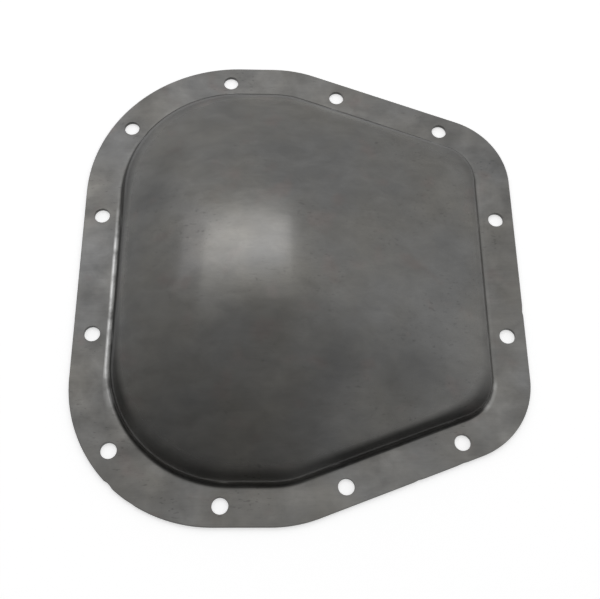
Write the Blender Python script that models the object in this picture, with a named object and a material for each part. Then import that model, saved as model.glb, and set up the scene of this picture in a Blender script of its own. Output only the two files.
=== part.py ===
"""Pressed steel cover for the back of an axle housing.

One sheet of steel, drawn into a shallow pan with a crowned face that clears the ring gear, and left flat
round the rim as a bolting flange with twelve punched holes. It lies on its flange, face up: the housing side
is z = 0, +Z points away from the housing, +X towards the narrow end and +Y towards the keyed corner.
"""
import math

import bmesh
import bpy
import numpy as np
from mathutils import Vector

MM = 0.001

# Sheet and flange outline
SHEET = 2.5 * MM
FLANGE_LENGTH_X = 297.2 * MM
FLANGE_LENGTH_Y = 335.2 * MM
NARROW_END_Y = 221.0 * MM          # length of the narrow end, between its two unrounded corners
LONG_SIDE_LENGTH = 144.8 * MM      # from the wide end to where the long sides turn inwards
NARROW_CORNER_RADIUS = 53.5 * MM
SLANT_CORNER_RADIUS = 86.6 * MM
KEYED_CORNER_RADIUS = 105.2 * MM   # upper corner of the wide end
WIDE_CORNER_RADIUS = 94.0 * MM     # lower corner of the wide end
EDGE_BREAK = 0.3 * MM              # rub along the sheared and punched edges

# Pan: wall, folds and crowned face
FLANGE_WIDTH = 24.6 * MM           # from the edge to the foot of the wall
PAN_WIDE_CORNER_RADIUS = 80.6 * MM
WALL_HEIGHT = 9.5 * MM             # from the flange to where wall and face would meet in an edge
WALL_DRAFT = math.radians(11.0)
FOOT_FOLD_RADIUS = 2.4 * MM
SHOULDER_DROP = 5.0 * MM           # how far the shoulder's round reaches down the wall
SHOULDER_SHARE = 0.1               # how far it reaches over the face, as a share of the way to the middle
CROWN_RISE = 28.5 * MM             # crown above the shoulder
CROWN_EASE = 0.25                  # how much the face flattens as it nears the shoulder
CROWN_LEAN = 3.5                   # swell towards the wide end and its ring gear, per metre

# Bolt holes
HOLE_DIAMETER = 10.3 * MM
HOLE_EDGE_DISTANCE = 12.1 * MM     # hole centre to the flange's edge
LONG_SIDE_EDGE_DISTANCE = 12.8 * MM
END_HOLE_Y = 43.4 * MM             # holes of both ends, either side of the middle
LONG_SIDE_HOLE_DISTANCE = 98.2 * MM     # from the wide end
FIRST_SLANT_HOLE = 37.5 * MM       # along the slanting side, from its start
SECOND_SLANT_HOLE = 46.0 * MM      # along the slanting side, from its end
KEYED_HOLE_ANGLE = math.radians(146.0)  # about the centre of its corner's arc
WIDE_HOLE_ANGLE = math.radians(215.7)
WIDE_HOLE_EDGE_DISTANCE = 13.2 * MM
PUNCH_LENGTH = 12.0 * MM

# Steel
STEEL_COLOUR = (0.20, 0.20, 0.19, 1.0)
STEEL_ROUGHNESS = 0.42

# Fineness of the mesh
ARC_STEP = math.radians(7.5)
SIDE_STEPS = 4
FOLD_STEPS = 3
SHOULDER_STEPS = 5
FACE_STEPS = 10
CONTOUR_SAMPLES = 360
HOLE_SIDES = 20
SMOOTH_ANGLE = math.radians(40.0)
EDGE_BREAK_ANGLE = math.radians(60.0)

# Corners of the outline, in flange_corners' order
UPPER_NARROW, UPPER_SLANT, KEYED, WIDE, LOWER_SLANT, LOWER_NARROW = range(6)


def clear_scene():
    for old in list(bpy.data.objects):
        bpy.data.objects.remove(old, do_unlink=True)


def bare_steel():
    """Bare, lightly oiled sheet steel."""
    material = bpy.data.materials.new("bare_steel")
    material.use_nodes = True
    shader = material.node_tree.nodes["Principled BSDF"]
    shader.inputs["Base Color"].default_value = STEEL_COLOUR
    shader.inputs["Metallic"].default_value = 1.0
    shader.inputs["Roughness"].default_value = STEEL_ROUGHNESS
    return material


def flange_corners():
    """The six unrounded corners of the flange, anticlockwise from the upper corner of the narrow end."""
    end = FLANGE_LENGTH_X / 2
    side = FLANGE_LENGTH_Y / 2
    narrow = NARROW_END_Y / 2
    turn = LONG_SIDE_LENGTH - end
    return [
        Vector((end, narrow)),
        Vector((turn, side)),
        Vector((-end, side)),
        Vector((-end, -side)),
        Vector((turn, -side)),
        Vector((end, -narrow)),
    ]


def flange_radii():
    return [
        NARROW_CORNER_RADIUS,
        SLANT_CORNER_RADIUS,
        KEYED_CORNER_RADIUS,
        WIDE_CORNER_RADIUS,
        SLANT_CORNER_RADIUS,
        NARROW_CORNER_RADIUS,
    ]


def pan_radii(inset):
    """Corner radii of the pan's ring that lies inset from the flange's edge. The pan has no keyed corner."""
    narrow = NARROW_CORNER_RADIUS - inset
    slant = SLANT_CORNER_RADIUS - inset
    wide = PAN_WIDE_CORNER_RADIUS + FLANGE_WIDTH - inset
    return [narrow, slant, wide, wide, slant, narrow]


def corner_arc(index, inset, radius):
    """Centre, start angle and turn of one corner's arc, where the sides have moved in by inset."""
    corners = flange_corners()
    corner = corners[index]
    to_last = (corners[index - 1] - corner).normalized()
    to_next = (corners[(index + 1) % len(corners)] - corner).normalized()
    half_angle = to_last.angle(to_next) / 2
    inward = (to_last + to_next).normalized()
    centre = corner + inward * (inset + radius) / math.sin(half_angle)
    start = math.atan2(to_last.x, -to_last.y)
    return centre, start, math.pi - 2 * half_angle


def rounded_ring(inset, radii):
    """The rounded outline moved in by inset, with the same number of points for any inset."""
    arcs = []
    for index, radius in enumerate(radii):
        centre, start, turn = corner_arc(index, inset, radius)
        steps = max(2, round(turn / ARC_STEP))
        angles = [start + turn * step / steps for step in range(steps + 1)]
        arcs.append([centre + radius * Vector((math.cos(a), math.sin(a))) for a in angles])
    points = []
    for index, arc in enumerate(arcs):
        points.extend(arc)
        side_start = arc[-1]
        side_end = arcs[(index + 1) % len(arcs)][0]
        points.extend(side_start.lerp(side_end, step / SIDE_STEPS) for step in range(1, SIDE_STEPS))
    return points


def along_ring(points):
    """Each point of a closed ring as a complex number, and its share of the way round."""
    path = np.array([complex(point.x, point.y) for point in points])
    steps = np.abs(np.roll(path, -1) - path)
    travelled = np.concatenate(([0.0], np.cumsum(steps)))
    return path, travelled / travelled[-1]


def ring_modes(path, travelled):
    """Fourier modes of a ring, which carry it smoothly inwards to a point."""
    even = np.arange(CONTOUR_SAMPLES) / CONTOUR_SAMPLES
    closed = np.append(path, path[0])
    samples = np.interp(even, travelled, closed.real) + 1j * np.interp(even, travelled, closed.imag)
    return np.fft.fft(samples) / CONTOUR_SAMPLES


def crown_height(x, share):
    """Height of the face's outer skin: share is 1 at the shoulder and 0 at the middle."""
    fall = (1 + CROWN_EASE) * share ** 2 - CROWN_EASE * share ** 4
    return SHEET + WALL_HEIGHT + CROWN_RISE * (1 - fall) * (1 - CROWN_LEAN * x)


def face_rings(shoulder):
    """Contours of the crowned face, each rounder than the last, from the shoulder's ring to the middle."""
    path, travelled = along_ring(shoulder)
    modes = ring_modes(path, travelled)
    orders = np.fft.fftfreq(CONTOUR_SAMPLES, 1 / CONTOUR_SAMPLES)
    turns = np.exp(2j * np.pi * np.outer(travelled[:-1], orders))
    rings = [at_height(shoulder, SHEET + WALL_HEIGHT)]
    for step in range(1, FACE_STEPS):
        share = 1 - step / FACE_STEPS
        contour = turns @ (modes * share ** np.abs(orders))
        rings.append([Vector((p.real, p.imag, crown_height(p.real, share))) for p in contour])
    middle = modes[0]
    return rings, Vector((middle.real, middle.imag, crown_height(middle.real, 0.0)))


def at_height(points, height):
    return [Vector((point.x, point.y, height)) for point in points]


def loft(mesh, rings):
    """Faces between each ring and the next; returns the rings' vertices."""
    skin = [[mesh.verts.new(point) for point in ring] for ring in rings]
    for outer, inner in zip(skin, skin[1:]):
        count = len(outer)
        for here in range(count):
            after = (here + 1) % count
            mesh.faces.new((outer[here], outer[after], inner[after], inner[here]))
    return skin


def close_top(mesh, ring, middle):
    top = mesh.verts.new(middle)
    for here, vertex in enumerate(ring):
        mesh.faces.new((vertex, ring[(here + 1) % len(ring)], top))


def rounded_shoulder(wall, edge, face):
    """Rings of the round in place of the shoulder's sharp edge: tight at the wall, broad towards the face."""
    sections = []
    for below, corner, above in zip(wall, edge, face):
        start = corner + (below - corner).normalized() * SHOULDER_DROP
        section = []
        for step in range(SHOULDER_STEPS + 1):
            share = step / SHOULDER_STEPS
            section.append(start.lerp(corner, share).lerp(corner.lerp(above, share), share))
        sections.append(section)
    return [list(ring) for ring in zip(*sections)]


def foot_fold():
    """Rings of the round fold between the flange and the wall, from the flange upwards."""
    turn = math.pi / 2 - WALL_DRAFT
    start = FLANGE_WIDTH - FOOT_FOLD_RADIUS * math.tan(turn / 2)
    rings = []
    for step in range(FOLD_STEPS + 1):
        angle = turn * step / FOLD_STEPS
        inset = start + FOOT_FOLD_RADIUS * math.sin(angle)
        height = SHEET + FOOT_FOLD_RADIUS * (1 - math.cos(angle))
        rings.append(at_height(rounded_ring(inset, pan_radii(inset)), height))
    return rings


def pressed_sheet():
    """The outer skin of the cover: flange, wall and crowned face, with rounded folds."""
    edge = at_height(rounded_ring(0.0, flange_radii()), SHEET)
    fold = foot_fold()
    shoulder_inset = FLANGE_WIDTH + WALL_HEIGHT * math.tan(WALL_DRAFT)
    face, middle = face_rings(rounded_ring(shoulder_inset, pan_radii(shoulder_inset)))
    reach = round(SHOULDER_SHARE * FACE_STEPS)
    shoulder = rounded_shoulder(fold[-1], face[0], face[reach])

    mesh = bmesh.new()
    skin = loft(mesh, [edge, *fold, *shoulder, *face[reach + 1:]])
    close_top(mesh, skin[-1], middle)
    return mesh


def slant_holes():
    """Two bolt holes beside the upper slanting side."""
    corners = flange_corners()
    start = corners[UPPER_SLANT]
    end = corners[UPPER_NARROW]
    along = (end - start).normalized()
    inward = Vector((along.y, -along.x)) * HOLE_EDGE_DISTANCE
    return [start + along * FIRST_SLANT_HOLE + inward, end - along * SECOND_SLANT_HOLE + inward]


def in_round_corner(index, angle, edge_distance):
    """A bolt hole in a rounded corner, at an angle about the centre of the corner's arc."""
    radius = flange_radii()[index]
    centre, _start, _turn = corner_arc(index, 0.0, radius)
    return centre + (radius - edge_distance) * Vector((math.cos(angle), math.sin(angle)))


def hole_centres():
    """All the bolt holes: five that mirror from the upper half to the lower, and one in each wide corner."""
    end_x = FLANGE_LENGTH_X / 2 - HOLE_EDGE_DISTANCE
    side_x = LONG_SIDE_HOLE_DISTANCE - FLANGE_LENGTH_X / 2
    side_y = FLANGE_LENGTH_Y / 2 - LONG_SIDE_EDGE_DISTANCE
    upper = [Vector((end_x, END_HOLE_Y)), Vector((-end_x, END_HOLE_Y)), Vector((side_x, side_y))]
    upper.extend(slant_holes())
    lower = [Vector((centre.x, -centre.y)) for centre in upper]
    keyed = in_round_corner(KEYED, KEYED_HOLE_ANGLE, HOLE_EDGE_DISTANCE)
    wide = in_round_corner(WIDE, WIDE_HOLE_ANGLE, WIDE_HOLE_EDGE_DISTANCE)
    return [*upper, *lower, keyed, wide]


def add_object(name, mesh, material=None):
    data = bpy.data.meshes.new(name)
    mesh.to_mesh(data)
    mesh.free()
    if material:
        data.materials.append(material)
    made = bpy.data.objects.new(name, data)
    bpy.context.collection.objects.link(made)
    return made


def bolt_hole_punches():
    """Round punches for all the bolt holes, kept as a hidden guide."""
    mesh = bmesh.new()
    for centre in hole_centres():
        punch = bmesh.ops.create_cone(
            mesh,
            cap_ends=True,
            segments=HOLE_SIDES,
            radius1=HOLE_DIAMETER / 2,
            radius2=HOLE_DIAMETER / 2,
            depth=PUNCH_LENGTH,
        )
        bmesh.ops.translate(mesh, verts=punch["verts"], vec=(centre.x, centre.y, SHEET / 2))
    punches = add_object("bolt_hole_punches", mesh)
    punches.display_type = "WIRE"
    punches.hide_render = True
    return punches


def differential_cover():
    cover = add_object("differential_cover", pressed_sheet(), bare_steel())
    thickness = cover.modifiers.new("sheet_thickness", "SOLIDIFY")
    thickness.thickness = SHEET
    thickness.offset = -1.0
    thickness.use_even_offset = True
    thickness.use_quality_normals = True

    holes = cover.modifiers.new("bolt_holes", "BOOLEAN")
    holes.operation = "DIFFERENCE"
    holes.solver = "EXACT"
    holes.object = bolt_hole_punches()

    edges = cover.modifiers.new("edge_break", "BEVEL")
    edges.width = EDGE_BREAK
    edges.segments = 1
    edges.limit_method = "ANGLE"
    edges.angle_limit = EDGE_BREAK_ANGLE
    edges.use_clamp_overlap = False

    cover.data.shade_smooth()
    cover.data.set_sharp_from_angle(angle=SMOOTH_ANGLE)
    return cover


clear_scene()
differential_cover()
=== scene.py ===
"""Looks of a pressed steel cover for the back of an axle housing.

The cover lies face up on a pale floor: a flat bolting flange with twelve punched holes round a shallow pan
with a crowned face. It is one sheet of bare steel, drawn and punched, dull grey under a thin film of oil.
"""
import math

import bmesh
import bpy
import numpy as np
from mathutils import Matrix, Vector


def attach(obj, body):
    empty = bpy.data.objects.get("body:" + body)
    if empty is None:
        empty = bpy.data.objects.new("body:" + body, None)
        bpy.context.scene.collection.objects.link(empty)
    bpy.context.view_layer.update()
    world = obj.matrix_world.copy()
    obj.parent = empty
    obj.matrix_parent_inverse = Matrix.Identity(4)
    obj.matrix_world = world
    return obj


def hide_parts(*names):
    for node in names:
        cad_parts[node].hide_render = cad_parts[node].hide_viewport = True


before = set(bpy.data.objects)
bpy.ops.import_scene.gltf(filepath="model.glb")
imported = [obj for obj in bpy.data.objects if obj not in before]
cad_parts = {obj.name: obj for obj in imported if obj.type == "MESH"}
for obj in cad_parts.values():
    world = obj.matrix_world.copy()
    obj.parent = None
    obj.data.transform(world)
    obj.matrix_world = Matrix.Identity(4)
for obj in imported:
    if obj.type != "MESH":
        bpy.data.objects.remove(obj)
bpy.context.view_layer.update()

MM = 0.001

# Sheet and flange outline
SHEET = 2.5 * MM
FLANGE_LENGTH_X = 297.2 * MM
FLANGE_LENGTH_Y = 335.2 * MM
NARROW_END_Y = 221.0 * MM
LONG_SIDE_LENGTH = 144.8 * MM
NARROW_CORNER_RADIUS = 53.5 * MM
SLANT_CORNER_RADIUS = 86.6 * MM
KEYED_CORNER_RADIUS = 105.2 * MM
WIDE_CORNER_RADIUS = 94.0 * MM
EDGE_BREAK = 0.3 * MM
NICK_WIDTH = 3.0 * MM
NICKS = (                          # knocks in the sheared edge: x, y and depth
    (-119.5 * MM, -142.0 * MM, 1.1 * MM),
    (-104.0 * MM, -152.0 * MM, 0.4 * MM),
    (148.5 * MM, -25.4 * MM, 0.5 * MM),
    (72.8 * MM, -140.0 * MM, 0.5 * MM),
    (101.0 * MM, -129.0 * MM, 0.4 * MM),
)

# Pan: wall, folds and crowned face
FLANGE_WIDTH = 24.6 * MM
PAN_WIDE_CORNER_RADIUS = 80.6 * MM
WALL_HEIGHT = 9.5 * MM
WALL_DRAFT = math.radians(11.0)
FOOT_FOLD_RADIUS = 2.4 * MM
SHOULDER_DROP = 5.0 * MM
SHOULDER_SHARE = 0.1
CROWN_RISE = 28.5 * MM
CROWN_EASE = 0.25
CROWN_LEAN = 3.5

# Bolt holes
HOLE_DIAMETER = 10.3 * MM
HOLE_EDGE_DISTANCE = 12.1 * MM
LONG_SIDE_EDGE_DISTANCE = 12.8 * MM
END_HOLE_Y = 43.4 * MM
LONG_SIDE_HOLE_DISTANCE = 98.2 * MM
FIRST_SLANT_HOLE = 37.5 * MM
SECOND_SLANT_HOLE = 46.0 * MM
KEYED_HOLE_ANGLE = math.radians(146.0)
WIDE_HOLE_ANGLE = math.radians(215.7)
WIDE_HOLE_EDGE_DISTANCE = 13.2 * MM
PUNCH_LENGTH = 12.0 * MM

# Fineness of the mesh
RING_SPACING = 2.6 * MM
FLANGE_INSETS = (1.5 * MM, 6.0 * MM, 12.0 * MM, 18.0 * MM, 21.2 * MM)
RUBBED_INSET = 22.1 * MM
FOLD_STEPS = 7
SHOULDER_STEPS = 14
FACE_STEPS = 40
CONTOUR_SAMPLES = 1024
HOLE_SIDES = 56
SMOOTH_ANGLE = math.radians(20.0)
EDGE_BREAK_ANGLE = math.radians(60.0)

# Vertex layers: how hard the press tool rubbed the sheet there, with painted highlights added, and how far
# along the fold and shoulder it lies, which places the drawn wall's roughness and its painted shade
RUB_AND_HIGHLIGHT = "rub_and_highlight"
DRAWN_AND_SHADED = "drawn_and_shaded"
RUB_AND_HIGHLIGHT_BESIDE_FOLD = 0.6
FOLD_RUB_AND_HIGHLIGHT = (0.95, 0.9, 0.9, 0.9, 0.9, 0.9, 0.8, 0.7)
SHOULDER_RUB_AND_HIGHLIGHT = (0.5, 0.35, 0.1)

# Corners of the flange, in the order that flange_corners gives them in
UPPER_NARROW, UPPER_SLANT, KEYED, WIDE = range(4)

# Bare steel: colours
WARM_STEEL = (0.191, 0.185, 0.171)
COOL_STEEL = (0.176, 0.176, 0.173)
RUSTY_STEEL = (0.198, 0.173, 0.164)
# The rubbed colour; down the left fold and round one corner it paints highlights as well
RUBBED_AND_HIGHLIGHT_STEEL = (0.62, 0.62, 0.61)

# Bare steel: film of oil. A cloud is size, detail, roughness and distortion; a span is what part of it shows
OIL_WEIGHT = 0.45
OIL_ROUGHNESS = 0.07
OIL_IOR = 1.46
FILM_CLOUD = (60 * MM, 3.0, 0.55)
FILM_SPAN = (0.35, 0.65)
BLOOM_SIZE = 22 * MM
BLOOM_OFFSET = (0.3, 0.1, 0.0)
BLOOM_SPAN = (0.60, 0.72)
BLOOM_SHARE = 0.5

# Bare steel: roughness
FACE_ROUGHNESS = 0.19
FACE_UNEVEN = 0.02
FLANGE_ROUGHNESS = 0.50
FLANGE_UNEVEN = 0.04
DRAWN_ROUGHNESS = 0.45
SHEARED_ROUGHNESS = 0.6
RUBBED_ROUGHNESS = 0.3

# Bare steel: patterns, each with its cloud or size and how much it darkens or lightens
MOTTLE_CLOUD = (11 * MM, 5.0, 0.62, 0.4)
MOTTLE_OFFSET = (0.7, 0.2, 0.0)
MOTTLE_STRETCH = (0.6, 1.0, 1.0)
MOTTLE_SPAN = (0.3, 0.7)
MOTTLE_SHADE = 0.12
SMUDGE_CLOUD = (24 * MM, 4.0, 0.55, 0.25)
SMUDGE_OFFSET = (0.15, 0.9, 0.0)
SMUDGE_SPAN = (0.33, 0.67)
SMUDGE_SHADE = 0.20
HANDLED_SIZE = 70 * MM
HANDLED_OFFSET = (0.8, 0.35, 0.0)
HANDLED_SPAN = (0.4, 0.6)
HANDLED_LEAST = 0.25
SCORE_CLOUD = (1.5 * MM, 1.0)
SCORE_OFFSET = (0.05, 0.45, 0.0)
SCORE_STRETCH = (0.45, 1.0, 1.0)
SCORE_SPAN = (0.64, 0.74)
SCORE_SHADE = 0.74
SCORE_PATCH_SIZE = 40 * MM
SCORE_PATCH_OFFSET = (0.5, 0.4, 0.0)
SCORE_PATCH_SPAN = (0.49, 0.62)
DARK_PATCHES = (                         # darker patches on the face: middle and reach; the last two paint the shade of a dark reflection
    ((-20 * MM, -46 * MM, 38 * MM), 36 * MM),
    ((22 * MM, -70 * MM, 32 * MM), 38 * MM),
    ((60 * MM, -76 * MM, 24 * MM), 38 * MM),
    ((-92 * MM, 76 * MM, 24 * MM), 24 * MM),
    ((-98 * MM, 50 * MM, 26 * MM), 22 * MM),
)
DARK_PATCH_FADE = (0.2, 1.0)
DARK_PATCH_SHADE = 0.77
GRAIN_CLOUD = (0.7 * MM, 3.0, 0.6)
GRAIN_OFFSET = (0.0, 0.0, 0.0)
GRAIN_STRETCH = (0.045, 1.0, 1.0)
GRAIN_TURN = math.radians(-3.0)
GRAIN_SPAN = (0.3, 0.7)
GRAIN_SHADE = 0.03
GRAIN_DEPTH = 0.001 * MM
WAVE_CLOUD = (12 * MM, 3.0)
WAVE_OFFSET = (0.2, 0.6, 0.0)
WAVE_STRETCH = (0.4, 1.0, 1.0)
WAVE_DEPTH = 0.025 * MM

# Bare steel: flange with painted light, sheared edges, painted shade on the wall, rubbed places with painted
# highlights
FLANGE_BLEND = (0.1 * MM, 0.6 * MM)
FLANGE_SHADE = 1.12
PAINTED_LIGHT_AXIS = (0.45, -0.89, 0.0)    # painted light: the flange lighter that way
PAINTED_LIGHT_REACH = (90 * MM, 135 * MM)
PAINTED_LIGHT_SHADE = 1.34
# Darker on the sheared edges, which paints shade on the walls of the bolt holes
SHEARED_SHADE = 0.42
SHEARED_BLEND = (0.15 * MM, 0.05 * MM)
# Painted shade on the fold, the wall and the start of the shoulder
PAINTED_WALL_SHADE = 0.68
DRAWN_AND_SHADE_FADE = (0.3, 0.7)
DARKEST_PAINTED_SHADE = 0.38               # painted shade once more, in a band round the wall's upper edge, on some sides
DARKEST_FADE = (0.24, 0.46)
DARKEST_FOOT = (0.86, 1.0)
DARKEST_FOOT_SHARE = 0.3
DARKEST_LEFT = (-112 * MM, -98 * MM)
DARKEST_FAR = (95 * MM, 115 * MM)
DARKEST_FAR_SHARE = 0.9
DARKEST_CORNER = 0.4               # round the far left corner
DARKEST_CORNER_X = (-95 * MM, -50 * MM)
DARKEST_CORNER_Y = (45 * MM, 85 * MM)
DARKEST_NEAR = (-115 * MM, -100 * MM)
DARKEST_NEAR_SHARE = 0.35
DARKEST_SLANT_X = (-5 * MM, 25 * MM)
DARKEST_SLANT_Y = (-90 * MM, -70 * MM)
RUB_AND_HIGHLIGHT_CLOUD = (9 * MM, 3.0)
RUB_AND_HIGHLIGHT_SPAN = (0.38, 0.58)
RUB_AND_HIGHLIGHT_LEAST = 0.35
RUB_ELSEWHERE = 0.08
# Painted highlights: the rub is brightest down the left fold and round one corner
HIGHLIGHT_END_X = (-100 * MM, -60 * MM)
HIGHLIGHT_END_Y = (20 * MM, 55 * MM)
HIGHLIGHT_BELOW = 0.1
HIGHLIGHT_BELOW_Y = (-105 * MM, -70 * MM)
HIGHLIGHT_CORNER = (118 * MM, -84 * MM, 5 * MM)
HIGHLIGHT_CORNER_REACH = (8 * MM, 14 * MM)
HIGHLIGHT_CORNER_SHARE = 0.7

# Camera, as the photograph was taken
CAMERA_PLACE = Vector((-21.84, -257.63, 567.65)) * MM
CAMERA_FORWARD = Vector((0.0344, 0.3898, -0.9202))
CAMERA_RIGHT = Vector((0.9994, -0.0067, 0.0345))
LENS = 55.23
SENSOR_WIDTH = 36.0

# Light
LAMP_HEIGHT = 1.0
LAMP_SPACING = 10 * MM             # one above the other, so that each adds its light
LAMP_POWER = 4.0                   # of a square metre of lamp at a level of 1
LIGHT = 1.6
LAMPS = (                          # name, left, right, near, far, level and colour
    ("box_middle", -0.59, 0.18, 0.40, 0.71, 0.14 * LIGHT, (0.96, 0.96, 1.0)),
    ("box_inner", -0.60, 0.18, 0.36, 0.80, 0.14 * LIGHT, (0.96, 0.96, 1.0)),
    ("box_outer", -0.61, 0.18, 0.27, 0.89, 0.12 * LIGHT),
    ("box_spill", -0.61, 0.19, 0.15, 1.04, 0.11 * LIGHT),
    ("left_spill", -0.97, -0.61, 0.42, 1.0, 0.20 * LIGHT, (0.90, 0.90, 1.0)),
    ("right_spill", 0.36, 1.10, -0.90, -0.26, 0.06 * LIGHT),
    ("far_right_spill", 0.56, 1.10, -0.90, -0.12, 0.05 * LIGHT),
)
ROOM_AXIS = (0.35, 0.94, 0.0)
ROOM_LEVELS = (                    # share of the way along the axis, and level
    (0.0, 0.03 * LIGHT),
    (0.06, 0.035 * LIGHT),
    (0.12, 0.06 * LIGHT),
    (0.2, 0.11 * LIGHT),
    (0.275, 0.14 * LIGHT),
    (0.36, 0.19 * LIGHT),
    (0.45, 0.26 * LIGHT),
    (0.50, 0.31 * LIGHT),
    (0.60, 0.38 * LIGHT),
    (0.725, 0.465 * LIGHT),
    (0.80, 0.45 * LIGHT),
    (0.88, 0.41 * LIGHT),
    (1.0, 0.39 * LIGHT),
)
FLOOR_REACH = 3.0
FLOOR_COLOUR = (0.85, 0.85, 0.85, 1.0)
FLOOR_ROUGHNESS = 0.9
FLOOR_LIFT = 0.56


def flange_corners():
    """The six unrounded corners of the flange, anticlockwise from the upper corner of the narrow end."""
    end = FLANGE_LENGTH_X / 2
    side = FLANGE_LENGTH_Y / 2
    narrow = NARROW_END_Y / 2
    turn = LONG_SIDE_LENGTH - end
    return [
        Vector((end, narrow)),
        Vector((turn, side)),
        Vector((-end, side)),
        Vector((-end, -side)),
        Vector((turn, -side)),
        Vector((end, -narrow)),
    ]


def flange_radii(inset=0.0):
    radii = [
        NARROW_CORNER_RADIUS,
        SLANT_CORNER_RADIUS,
        KEYED_CORNER_RADIUS,
        WIDE_CORNER_RADIUS,
        SLANT_CORNER_RADIUS,
        NARROW_CORNER_RADIUS,
    ]
    return [radius - inset for radius in radii]


def pan_radii(inset):
    """Corner radii of the pan's ring that lies inset from the flange's edge. The pan has no keyed corner."""
    narrow = NARROW_CORNER_RADIUS - inset
    slant = SLANT_CORNER_RADIUS - inset
    wide = PAN_WIDE_CORNER_RADIUS + FLANGE_WIDTH - inset
    return [narrow, slant, wide, wide, slant, narrow]


def corner_arc(index, inset, radius):
    """Centre, start angle and turn of one corner's arc, where the sides have moved in by inset."""
    corners = flange_corners()
    corner = corners[index]
    to_last = (corners[index - 1] - corner).normalized()
    to_next = (corners[(index + 1) % len(corners)] - corner).normalized()
    half_angle = to_last.angle(to_next) / 2
    inward = (to_last + to_next).normalized()
    centre = corner + inward * (inset + radius) / math.sin(half_angle)
    start = math.atan2(to_last.x, -to_last.y)
    return centre, start, math.pi - 2 * half_angle


def ring_steps():
    """How many steps each corner's arc and each straight side take, the same for every ring."""
    arcs = []
    for index, radius in enumerate(flange_radii()):
        centre, start, turn = corner_arc(index, 0.0, radius)
        ends = (start, start + turn)
        arcs.append([centre + radius * Vector((math.cos(angle), math.sin(angle))) for angle in ends])
    steps = []
    for index, radius in enumerate(flange_radii()):
        _centre, _start, turn = corner_arc(index, 0.0, radius)
        side = (arcs[(index + 1) % len(arcs)][0] - arcs[index][1]).length
        steps.append((round(turn * radius / RING_SPACING), max(2, round(side / RING_SPACING))))
    return steps


STEPS = ring_steps()


def rounded_ring(inset, radii):
    """Points of the rounded outline moved in by inset, as an array of x and y."""
    arcs = []
    for index, radius in enumerate(radii):
        centre, start, turn = corner_arc(index, inset, radius)
        angles = np.linspace(start, start + turn, STEPS[index][0] + 1)
        arcs.append(np.array(centre) + radius * np.column_stack((np.cos(angles), np.sin(angles))))
    parts = []
    for index, arc in enumerate(arcs):
        following = arcs[(index + 1) % len(arcs)][0]
        shares = np.arange(1, STEPS[index][1])[:, None] / STEPS[index][1]
        parts.extend((arc, arc[-1] + (following - arc[-1]) * shares))
    return np.vstack(parts)


def at_height(ring, height):
    return np.column_stack((ring, np.full(len(ring), height)))


def crown_height(x, share):
    """Height of the face's outer skin: share is 1 at the shoulder and 0 at the middle."""
    fall = (1 + CROWN_EASE) * share ** 2 - CROWN_EASE * share ** 4
    return SHEET + WALL_HEIGHT + CROWN_RISE * (1 - fall) * (1 - CROWN_LEAN * x)


def face_rings(shoulder):
    """Contours of the crowned face, each rounder than the last, from the shoulder's ring to the middle."""
    path = shoulder[:, 0] + 1j * shoulder[:, 1]
    travelled = np.concatenate(([0.0], np.cumsum(np.abs(np.roll(path, -1) - path))))
    travelled /= travelled[-1]
    even = np.arange(CONTOUR_SAMPLES) / CONTOUR_SAMPLES
    closed = np.append(path, path[0])
    samples = np.interp(even, travelled, closed.real) + 1j * np.interp(even, travelled, closed.imag)
    modes = np.fft.fft(samples) / CONTOUR_SAMPLES
    orders = np.fft.fftfreq(CONTOUR_SAMPLES, 1 / CONTOUR_SAMPLES)
    turns = np.exp(2j * np.pi * np.outer(travelled[:-1], orders))
    rings = [at_height(shoulder, SHEET + WALL_HEIGHT)]
    for step in range(1, FACE_STEPS):
        share = 1 - step / FACE_STEPS
        contour = turns @ (modes * share ** np.abs(orders))
        rings.append(np.column_stack((contour.real, contour.imag, crown_height(contour.real, share))))
    middle = modes[0]
    return rings, Vector((middle.real, middle.imag, crown_height(middle.real, 0.0)))


def unit(rows):
    return rows / np.linalg.norm(rows, axis=1, keepdims=True)


def rounded_shoulder(wall, edge, face):
    """Rings of the round in place of the shoulder's sharp edge: tight at the wall, broad towards the face."""
    start = edge + unit(wall - edge) * SHOULDER_DROP
    rings = []
    for step in range(SHOULDER_STEPS + 1):
        share = step / SHOULDER_STEPS
        rings.append((1 - share) ** 2 * start + 2 * share * (1 - share) * edge + share ** 2 * face)
    return rings


def foot_fold():
    """Rings of the round fold between the flange and the wall, from the flange upwards."""
    turn = math.pi / 2 - WALL_DRAFT
    start = FLANGE_WIDTH - FOOT_FOLD_RADIUS * math.tan(turn / 2)
    rings = []
    for step in range(FOLD_STEPS + 1):
        angle = turn * step / FOLD_STEPS
        inset = start + FOOT_FOLD_RADIUS * math.sin(angle)
        height = SHEET + FOOT_FOLD_RADIUS * (1 - math.cos(angle))
        rings.append(at_height(rounded_ring(inset, pan_radii(inset)), height))
    return rings


def nicked(edge, inner):
    """The sheared edge pushed a little towards the next ring where it was knocked."""
    inward = unit(inner - edge)
    push = np.zeros(len(edge))
    for x, y, depth in NICKS:
        away = np.hypot(edge[:, 0] - x, edge[:, 1] - y)
        push = np.maximum(push, depth * np.clip(1 - away / NICK_WIDTH, 0, 1))
    return edge + inward * push[:, None]


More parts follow.
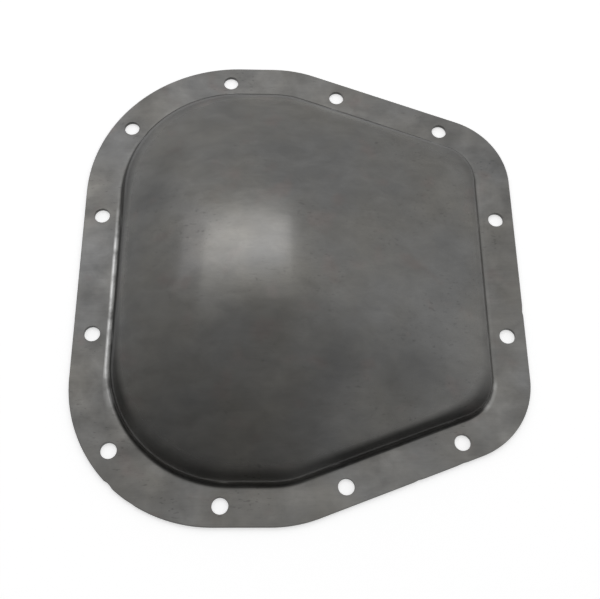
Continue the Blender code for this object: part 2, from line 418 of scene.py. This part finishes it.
def grow(mesh, loop, places, rub_and_highlight=0.0, drawn_and_shaded=0.0):
    """Extrude a closed loop of vertices and put the new ones in their places."""
    rub_and_highlight_layer = mesh.verts.layers.float[RUB_AND_HIGHLIGHT]
    drawn_and_shaded_layer = mesh.verts.layers.float[DRAWN_AND_SHADED]
    edges = [mesh.edges.get((here, after)) for here, after in zip(loop, loop[1:] + loop[:1])]
    made = bmesh.ops.extrude_edge_only(mesh, edges=edges)["geom"]
    fresh = {element for element in made if isinstance(element, bmesh.types.BMVert)}
    grown = []
    for vertex, place in zip(loop, places):
        partner = next(end for end in (edge.other_vert(vertex) for edge in vertex.link_edges) if end in fresh)
        partner.co = place
        partner[rub_and_highlight_layer] = rub_and_highlight
        partner[drawn_and_shaded_layer] = drawn_and_shaded
        grown.append(partner)
    return grown


def pressed_sheet():
    """The outer skin of the cover: flange, wall and crowned face, grown ring by ring from the edge."""
    flange = [at_height(rounded_ring(inset, flange_radii(inset)), SHEET) for inset in FLANGE_INSETS]
    edge = nicked(at_height(rounded_ring(0.0, flange_radii()), SHEET), flange[0])
    fold = foot_fold()
    shoulder_inset = FLANGE_WIDTH + WALL_HEIGHT * math.tan(WALL_DRAFT)
    face, middle = face_rings(rounded_ring(shoulder_inset, pan_radii(shoulder_inset)))
    reach = round(SHOULDER_SHARE * FACE_STEPS)
    shoulder = rounded_shoulder(fold[-1], face[0], face[reach])
    inner = face[reach + 1:]

    mesh = bmesh.new()
    mesh.verts.layers.float.new(RUB_AND_HIGHLIGHT)
    mesh.verts.layers.float.new(DRAWN_AND_SHADED)
    made = bmesh.ops.create_circle(mesh, cap_ends=False, segments=len(edge), radius=1.0)
    loop = made["verts"]
    for vertex, place in zip(loop, edge):
        vertex.co = place
    for ring in flange:
        loop = grow(mesh, loop, ring)
    beside_fold = at_height(rounded_ring(RUBBED_INSET, pan_radii(RUBBED_INSET)), SHEET)
    loop = grow(mesh, loop, beside_fold, rub_and_highlight=RUB_AND_HIGHLIGHT_BESIDE_FOLD)
    for step, ring in enumerate(fold):
        loop = grow(mesh, loop, ring, rub_and_highlight=FOLD_RUB_AND_HIGHLIGHT[step], drawn_and_shaded=step / FOLD_STEPS)
    for step, ring in enumerate(shoulder):
        rub_and_highlight = SHOULDER_RUB_AND_HIGHLIGHT[step] if step < len(SHOULDER_RUB_AND_HIGHLIGHT) else 0.0
        loop = grow(mesh, loop, ring, rub_and_highlight=rub_and_highlight, drawn_and_shaded=1 - step / SHOULDER_STEPS)
    for ring in inner:
        loop = grow(mesh, loop, ring)
    loop = grow(mesh, loop, [middle] * len(loop))
    bmesh.ops.pointmerge(mesh, verts=loop, merge_co=middle)
    bmesh.ops.recalc_face_normals(mesh, faces=mesh.faces)
    if sum(face.normal.z * face.calc_area() for face in mesh.faces) < 0:
        bmesh.ops.reverse_faces(mesh, faces=mesh.faces)
    return mesh


def slant_holes():
    """Two bolt holes beside the upper slanting side."""
    corners = flange_corners()
    start = corners[UPPER_SLANT]
    end = corners[UPPER_NARROW]
    along = (end - start).normalized()
    inward = Vector((along.y, -along.x)) * HOLE_EDGE_DISTANCE
    return [start + along * FIRST_SLANT_HOLE + inward, end - along * SECOND_SLANT_HOLE + inward]


def in_round_corner(index, angle, edge_distance):
    """A bolt hole in a rounded corner, at an angle about the centre of the corner's arc."""
    radius = flange_radii()[index]
    centre, _start, _turn = corner_arc(index, 0.0, radius)
    return centre + (radius - edge_distance) * Vector((math.cos(angle), math.sin(angle)))


def hole_centres():
    """All the bolt holes: five that mirror from the upper half to the lower, and one in each wide corner."""
    end_x = FLANGE_LENGTH_X / 2 - HOLE_EDGE_DISTANCE
    side_x = LONG_SIDE_HOLE_DISTANCE - FLANGE_LENGTH_X / 2
    side_y = FLANGE_LENGTH_Y / 2 - LONG_SIDE_EDGE_DISTANCE
    upper = [Vector((end_x, END_HOLE_Y)), Vector((-end_x, END_HOLE_Y)), Vector((side_x, side_y))]
    upper.extend(slant_holes())
    lower = [Vector((centre.x, -centre.y)) for centre in upper]
    keyed = in_round_corner(KEYED, KEYED_HOLE_ANGLE, HOLE_EDGE_DISTANCE)
    wide = in_round_corner(WIDE, WIDE_HOLE_ANGLE, WIDE_HOLE_EDGE_DISTANCE)
    return [*upper, *lower, keyed, wide]


def add_object(name, mesh):
    data = bpy.data.meshes.new(name)
    mesh.to_mesh(data)
    mesh.free()
    made = bpy.data.objects.new(name, data)
    bpy.context.scene.collection.objects.link(made)
    return made


def punches():
    mesh = bmesh.new()
    for centre in hole_centres():
        punch = bmesh.ops.create_cone(
            mesh,
            cap_ends=True,
            segments=HOLE_SIDES,
            radius1=HOLE_DIAMETER / 2,
            radius2=HOLE_DIAMETER / 2,
            depth=PUNCH_LENGTH,
        )
        bmesh.ops.translate(mesh, verts=punch["verts"], vec=(centre.x, centre.y, SHEET / 2))
    return add_object("punches", mesh)


def settle(piece):
    """Turn a piece's modifiers into plain mesh."""
    graph = bpy.context.evaluated_depsgraph_get()
    final = bpy.data.meshes.new_from_object(piece.evaluated_get(graph))
    piece.modifiers.clear()
    piece.data = final


def steel_cover():
    cover = add_object("pressed_cover", pressed_sheet())
    thickness = cover.modifiers.new("sheet_thickness", "SOLIDIFY")
    thickness.thickness = SHEET
    thickness.offset = -1.0
    thickness.use_even_offset = True
    thickness.use_quality_normals = True

    tools = punches()
    holes = cover.modifiers.new("bolt_holes", "BOOLEAN")
    holes.operation = "DIFFERENCE"
    holes.solver = "EXACT"
    holes.object = tools

    edges = cover.modifiers.new("edge_break", "BEVEL")
    edges.width = EDGE_BREAK
    edges.segments = 2
    edges.limit_method = "ANGLE"
    edges.angle_limit = EDGE_BREAK_ANGLE
    edges.use_clamp_overlap = False
    settle(cover)
    bpy.data.objects.remove(tools, do_unlink=True)
    cover.data.shade_smooth()
    cover.data.set_sharp_from_angle(angle=SMOOTH_ANGLE)
    return cover


def value_of(tree, source, socket):
    """Feed a socket from an output, or set it to a number."""
    if isinstance(source, (int, float)):
        socket.default_value = source
    else:
        tree.links.new(source, socket)


def calculate(tree, operation, *terms):
    made = tree.nodes.new("ShaderNodeMath")
    made.operation = operation
    for term, socket in zip(terms, made.inputs):
        value_of(tree, term, socket)
    return made.outputs["Value"]


def spread(tree, source, low, high, lowest, highest):
    """A value between low and high carried to between lowest and highest, and held at both ends."""
    made = tree.nodes.new("ShaderNodeMapRange")
    for name, bound in (("From Min", low), ("From Max", high), ("To Min", lowest), ("To Max", highest)):
        made.inputs[name].default_value = bound
    tree.links.new(source, made.inputs["Value"])
    return made.outputs["Result"]


def measured(tree, operation, source, fixed):
    """A vector's distance from a fixed point, or its dot product with a fixed axis."""
    made = tree.nodes.new("ShaderNodeVectorMath")
    made.operation = operation
    made.inputs[1].default_value = fixed
    tree.links.new(source, made.inputs[0])
    return made.outputs["Value"]


def separated(tree, place):
    """The x, y and z of a place."""
    made = tree.nodes.new("ShaderNodeSeparateXYZ")
    tree.links.new(place, made.inputs["Vector"])
    return made.outputs["X"], made.outputs["Y"], made.outputs["Z"]


def placed(tree, source, offset, stretch=(1.0, 1.0, 1.0), turn=0.0):
    """Object coordinates moved, turned and stretched, so that patterns differ and lie along the grain."""
    made = tree.nodes.new("ShaderNodeMapping")
    made.inputs["Location"].default_value = offset
    made.inputs["Rotation"].default_value = (0.0, 0.0, turn)
    made.inputs["Scale"].default_value = stretch
    tree.links.new(source, made.inputs["Vector"])
    return made.outputs["Vector"]


def marked(tree, layer):
    """A value that the mesh itself carries."""
    made = tree.nodes.new("ShaderNodeAttribute")
    made.attribute_name = layer
    return made.outputs["Fac"]


def blended(tree, share, first, second):
    """A number between two, each an output or a fixed number."""
    made = tree.nodes.new("ShaderNodeMix")
    value_of(tree, share, made.inputs[0])
    value_of(tree, first, made.inputs[2])
    value_of(tree, second, made.inputs[3])
    return made.outputs[0]


def relief(tree, heights, depth, under=None):
    """A bump as deep as depth where heights goes from 0 to 1, over another bump if one is given."""
    made = tree.nodes.new("ShaderNodeBump")
    made.inputs["Strength"].default_value = 1.0
    made.inputs["Distance"].default_value = depth
    tree.links.new(heights, made.inputs["Height"])
    if under:
        tree.links.new(under, made.inputs["Normal"])
    return made.outputs["Normal"]


def cloud(tree, source, size, detail=2.0, roughness=0.5, distortion=0.0):
    """Noise whose blotches are about size across."""
    made = tree.nodes.new("ShaderNodeTexNoise")
    made.inputs["Scale"].default_value = 1 / size
    made.inputs["Detail"].default_value = detail
    made.inputs["Roughness"].default_value = roughness
    made.inputs["Distortion"].default_value = distortion
    tree.links.new(source, made.inputs["Vector"])
    return made.outputs["Fac"]


def between(tree, share, first, second, blend="MIX"):
    """A colour between two, each an output or a fixed colour."""
    made = tree.nodes.new("ShaderNodeMix")
    made.data_type = "RGBA"
    made.blend_type = blend
    value_of(tree, share, made.inputs["Factor"])
    for colour, socket in ((first, made.inputs[6]), (second, made.inputs[7])):
        if isinstance(colour, tuple):
            socket.default_value = (*colour, 1.0)
        else:
            tree.links.new(colour, socket)
    return made.outputs[2]


def steel_places(tree, place):
    """Shares from 0 to 1 of flange, sheared edge and drawn wall, and how bright the sheet was rubbed, with
    painted highlights.
    """
    x, y, z = separated(tree, place)
    flange = spread(tree, z, SHEET + FLANGE_BLEND[0], SHEET + FLANGE_BLEND[1], 1.0, 0.0)
    from_core = calculate(tree, "ABSOLUTE", calculate(tree, "SUBTRACT", z, SHEET / 2))
    sheared = spread(tree, from_core, SHEET / 2 - SHEARED_BLEND[0], SHEET / 2 - SHEARED_BLEND[1], 1.0, 0.0)
    drawn_and_shaded = marked(tree, DRAWN_AND_SHADED)

    # Painted highlights: rubbed brightest down the left fold and round one corner of the narrow end
    left_end = spread(tree, x, *HIGHLIGHT_END_X, 1.0, RUB_ELSEWHERE)
    left_top = spread(tree, y, *HIGHLIGHT_END_Y, 1.0, RUB_ELSEWHERE)
    left_below = spread(tree, y, *HIGHLIGHT_BELOW_Y, HIGHLIGHT_BELOW, 1.0)
    left = calculate(tree, "MINIMUM", calculate(tree, "MINIMUM", left_end, left_top), left_below)
    from_corner = measured(tree, "DISTANCE", place, HIGHLIGHT_CORNER)
    corner_highlight = spread(tree, from_corner, *HIGHLIGHT_CORNER_REACH, HIGHLIGHT_CORNER_SHARE, 0.0)
    strong = calculate(tree, "MAXIMUM", left, corner_highlight)
    patchy = spread(tree, cloud(tree, place, *RUB_AND_HIGHLIGHT_CLOUD), *RUB_AND_HIGHLIGHT_SPAN, RUB_AND_HIGHLIGHT_LEAST, 1.0)
    rub_and_highlight = calculate(tree, "MULTIPLY", calculate(tree, "MULTIPLY", marked(tree, RUB_AND_HIGHLIGHT), strong), patchy)
    return flange, sheared, drawn_and_shaded, rub_and_highlight


def painted_shade_sides(tree, place):
    """Where the painted shade lies darkest: down the left side and, less, far and near; and along the lower
    slant.
    """
    x, y, _z = separated(tree, place)
    left = spread(tree, x, *DARKEST_LEFT, 1.0, 0.0)
    left = calculate(tree, "MINIMUM", left, spread(tree, y, *DARKEST_CORNER_Y, 1.0, DARKEST_CORNER))
    far = spread(tree, y, *DARKEST_FAR, 0.0, DARKEST_FAR_SHARE)
    far = calculate(tree, "MULTIPLY", far, spread(tree, x, *DARKEST_CORNER_X, DARKEST_CORNER, 1.0))
    near = spread(tree, y, *DARKEST_NEAR, DARKEST_NEAR_SHARE, 0.0)
    right = spread(tree, x, *DARKEST_SLANT_X, 0.0, 1.0)
    slant = calculate(tree, "MULTIPLY", right, spread(tree, y, *DARKEST_SLANT_Y, 1.0, 0.0))
    return calculate(tree, "MAXIMUM", left, calculate(tree, "MAXIMUM", far, near)), slant


def bare_steel():
    """Cold-rolled sheet with a film of oil: cloudy, smudged on the flange, rubbed bright at the left fold;
    with painted light, shade and highlights.
    """
    material = bpy.data.materials.new("bare_steel")
    material.use_nodes = True
    tree = material.node_tree
    shader = tree.nodes["Principled BSDF"]
    shader.inputs["Metallic"].default_value = 1.0
    shader.inputs["Coat Weight"].default_value = OIL_WEIGHT
    shader.inputs["Coat Roughness"].default_value = OIL_ROUGHNESS
    shader.inputs["Coat IOR"].default_value = OIL_IOR
    place = tree.nodes.new("ShaderNodeTexCoord").outputs["Object"]
    flange, sheared, drawn_and_shaded, rub_and_highlight = steel_places(tree, place)

    # Oil film: broad warm and cool clouds, and a few spots of faint rust
    film = spread(tree, cloud(tree, place, *FILM_CLOUD), *FILM_SPAN, 0.0, 1.0)
    colour = between(tree, film, WARM_STEEL, COOL_STEEL)
    bloom = cloud(tree, placed(tree, place, BLOOM_OFFSET), BLOOM_SIZE)
    colour = between(tree, spread(tree, bloom, *BLOOM_SPAN, 0.0, BLOOM_SHARE), colour, RUSTY_STEEL)

    # Mottling of the rolled skin, and smudges on the flange where it was handled
    along_grain = placed(tree, place, MOTTLE_OFFSET, MOTTLE_STRETCH, GRAIN_TURN)
    mottle = cloud(tree, along_grain, *MOTTLE_CLOUD)
    shade = spread(tree, mottle, *MOTTLE_SPAN, 1 - MOTTLE_SHADE, 1 + MOTTLE_SHADE)
    smudge = cloud(tree, placed(tree, place, SMUDGE_OFFSET), *SMUDGE_CLOUD)
    handled = cloud(tree, placed(tree, place, HANDLED_OFFSET), HANDLED_SIZE)
    smudge_shade = spread(tree, smudge, *SMUDGE_SPAN, 1 - SMUDGE_SHADE, 1 + SMUDGE_SHADE)
    smudged = calculate(tree, "MULTIPLY", flange, spread(tree, handled, *HANDLED_SPAN, HANDLED_LEAST, 1.0))
    shade = calculate(tree, "MULTIPLY", shade, calculate(tree, "POWER", smudge_shade, smudged))
    # Painted light: the flange lighter towards its near right
    painted_light_lean = measured(tree, "DOT_PRODUCT", place, PAINTED_LIGHT_AXIS)
    flange_tone_and_painted_light = spread(tree, painted_light_lean, *PAINTED_LIGHT_REACH, FLANGE_SHADE, PAINTED_LIGHT_SHADE)
    shade = calculate(tree, "MULTIPLY", shade, calculate(tree, "POWER", flange_tone_and_painted_light, flange))

    # Darker patches on the face; at the far left corner they paint the shade of a dark reflection
    dark_patch = 1.0
    for middle, reach in DARK_PATCHES:
        away = calculate(tree, "DIVIDE", measured(tree, "DISTANCE", place, middle), reach)
        dark_patch = calculate(tree, "MINIMUM", away, dark_patch)
    shade = calculate(tree, "MULTIPLY", shade, spread(tree, dark_patch, *DARK_PATCH_FADE, DARK_PATCH_SHADE, 1.0))

    # Short dark scores along the grain, in patches
    score = cloud(tree, placed(tree, place, SCORE_OFFSET, SCORE_STRETCH, GRAIN_TURN), *SCORE_CLOUD)
    patch = cloud(tree, placed(tree, place, SCORE_PATCH_OFFSET), SCORE_PATCH_SIZE)
    scored = spread(tree, patch, *SCORE_PATCH_SPAN, 0.0, 1.0)
    scores = calculate(tree, "MULTIPLY", spread(tree, score, *SCORE_SPAN, 0.0, 1.0), scored)
    shade = calculate(tree, "MULTIPLY", shade, spread(tree, scores, 0.0, 1.0, 1.0, SCORE_SHADE))

    # Rolling grain
    grain = cloud(tree, placed(tree, place, GRAIN_OFFSET, GRAIN_STRETCH, GRAIN_TURN), *GRAIN_CLOUD)
    grain_shade = spread(tree, grain, *GRAIN_SPAN, 1 - GRAIN_SHADE, 1 + GRAIN_SHADE)
    shade = calculate(tree, "MULTIPLY", shade, grain_shade)

    # Painted shade on the fold, wall and shoulder, darkest on some sides; darker on the sheared edges,
    # painted shade in the bolt holes; bright where rubbed, with painted highlights
    shade = calculate(tree, "MULTIPLY", shade, spread(tree, drawn_and_shaded, *DRAWN_AND_SHADE_FADE, 1.0, PAINTED_WALL_SHADE))
    painted_shade_side, painted_shade_slant = painted_shade_sides(tree, place)
    above_foot = spread(tree, drawn_and_shaded, *DARKEST_FOOT, 1.0, DARKEST_FOOT_SHARE)
    darkest_painted_shade = calculate(tree, "MAXIMUM", calculate(tree, "MULTIPLY", painted_shade_side, above_foot), painted_shade_slant)
    darkest_painted_shade = calculate(tree, "MULTIPLY", darkest_painted_shade, spread(tree, drawn_and_shaded, *DARKEST_FADE, 0.0, 1.0))
    shade = calculate(tree, "MULTIPLY", shade, spread(tree, darkest_painted_shade, 0.0, 1.0, 1.0, DARKEST_PAINTED_SHADE))
    shade = calculate(tree, "MULTIPLY", shade, spread(tree, sheared, 0.0, 1.0, 1.0, SHEARED_SHADE))
    greys = tree.nodes.new("ShaderNodeCombineColor")
    for socket in greys.inputs:
        tree.links.new(shade, socket)
    colour = between(tree, 1.0, colour, greys.outputs["Color"], "MULTIPLY")
    colour = between(tree, rub_and_highlight, colour, RUBBED_AND_HIGHLIGHT_STEEL)
    tree.links.new(colour, shader.inputs["Base Color"])

    # Roughness: the face is smoothest, then rubbed places, the drawn wall, the flange and the sheared edges
    rough = spread(tree, mottle, *MOTTLE_SPAN, FACE_ROUGHNESS - FACE_UNEVEN, FACE_ROUGHNESS + FACE_UNEVEN)
    dullest = FLANGE_ROUGHNESS + FLANGE_UNEVEN
    flange_rough = spread(tree, smudge, *SMUDGE_SPAN, dullest, FLANGE_ROUGHNESS - FLANGE_UNEVEN)
    rough = blended(tree, flange, rough, flange_rough)
    rough = blended(tree, spread(tree, drawn_and_shaded, 0.0, DRAWN_AND_SHADE_FADE[1], 0.0, 1.0), rough, DRAWN_ROUGHNESS)
    rough = blended(tree, sheared, rough, SHEARED_ROUGHNESS)
    rough = blended(tree, rub_and_highlight, rough, RUBBED_ROUGHNESS)
    tree.links.new(rough, shader.inputs["Roughness"])

    # Relief: slow waves of the drawn sheet, and the grain
    waves = cloud(tree, placed(tree, place, WAVE_OFFSET, WAVE_STRETCH, GRAIN_TURN), *WAVE_CLOUD)
    slow = relief(tree, waves, WAVE_DEPTH)
    fine = relief(tree, grain, GRAIN_DEPTH, slow)
    tree.links.new(fine, shader.inputs["Normal"])
    return material


def ramp(tree, source, stops):
    """A grey colour ramp: each stop is a place from 0 to 1 and its grey."""
    made = tree.nodes.new("ShaderNodeValToRGB")
    elements = made.color_ramp.elements
    while len(elements) < len(stops):
        elements.new(0.5)
    for element, (place, grey) in zip(elements, stops):
        element.position = place
        element.color = (grey, grey, grey, 1.0)
    tree.links.new(source, made.inputs["Fac"])
    return made.outputs["Color"]


def pale_floor():
    """A floor that lights and shades as white paper, and that the camera and the steel see near white."""
    mesh = bmesh.new()
    bmesh.ops.create_grid(mesh, x_segments=2, y_segments=2, size=FLOOR_REACH)
    floor = add_object("floor", mesh)
    material = bpy.data.materials.new("pale_floor")
    material.use_nodes = True
    tree = material.node_tree
    shader = tree.nodes["Principled BSDF"]
    shader.inputs["Base Color"].default_value = FLOOR_COLOUR
    shader.inputs["Roughness"].default_value = FLOOR_ROUGHNESS
    shader.inputs["Emission Color"].default_value = (1.0, 1.0, 1.0, 1.0)
    path = tree.nodes.new("ShaderNodeLightPath")
    seen = calculate(tree, "MAXIMUM", path.outputs["Is Camera Ray"], path.outputs["Is Glossy Ray"])
    seen = calculate(tree, "MAXIMUM", seen, path.outputs["Is Transmission Ray"])
    tree.links.new(calculate(tree, "MULTIPLY", seen, FLOOR_LIFT), shader.inputs["Emission Strength"])
    floor.data.materials.append(material)


def camera():
    data = bpy.data.cameras.new("camera")
    data.lens = LENS
    data.sensor_width = SENSOR_WIDTH
    made = bpy.data.objects.new("camera", data)
    back = -CAMERA_FORWARD.normalized()
    right = (CAMERA_RIGHT - back * CAMERA_RIGHT.dot(back)).normalized()
    up = back.cross(right)
    turn = Matrix((right, up, back)).transposed().to_4x4()
    made.matrix_world = Matrix.Translation(CAMERA_PLACE) @ turn
    bpy.context.scene.collection.objects.link(made)
    bpy.context.scene.camera = made


def softbox(height, name, left, right, near, far, level, colour=(1.0, 1.0, 1.0)):
    """A flat lamp overhead that faces down, from left to right and near to far, as bright as level."""
    width = right - left
    depth = far - near
    data = bpy.data.lights.new(name, "AREA")
    data.shape = "RECTANGLE"
    data.size = width
    data.size_y = depth
    data.energy = LAMP_POWER * width * depth * level
    data.color = colour
    made = bpy.data.objects.new(name, data)
    made.location = ((left + right) / 2, (near + far) / 2, height)
    bpy.context.scene.collection.objects.link(made)


def studio():
    """Soft light: a large box overhead, its paler spill, and a room that is darker towards the viewer."""
    world = bpy.data.worlds.new("studio")
    world.use_nodes = True
    tree = world.node_tree
    background = tree.nodes["Background"]
    direction = tree.nodes.new("ShaderNodeTexCoord").outputs["Generated"]
    lean = measured(tree, "DOT_PRODUCT", direction, ROOM_AXIS)
    share = spread(tree, lean, -1.0, 1.0, 0.0, 1.0)
    tree.links.new(ramp(tree, share, ROOM_LEVELS), background.inputs["Color"])
    bpy.context.scene.world = world
    for step, lamp in enumerate(LAMPS):
        softbox(LAMP_HEIGHT + step * LAMP_SPACING, *lamp)


cover = steel_cover()
cover.data.materials.clear()
cover.data.materials.append(bare_steel())
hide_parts("differential_cover")
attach(cover, "root")
pale_floor()
camera()
studio()
bpy.context.scene.view_settings.view_transform = "Standard"
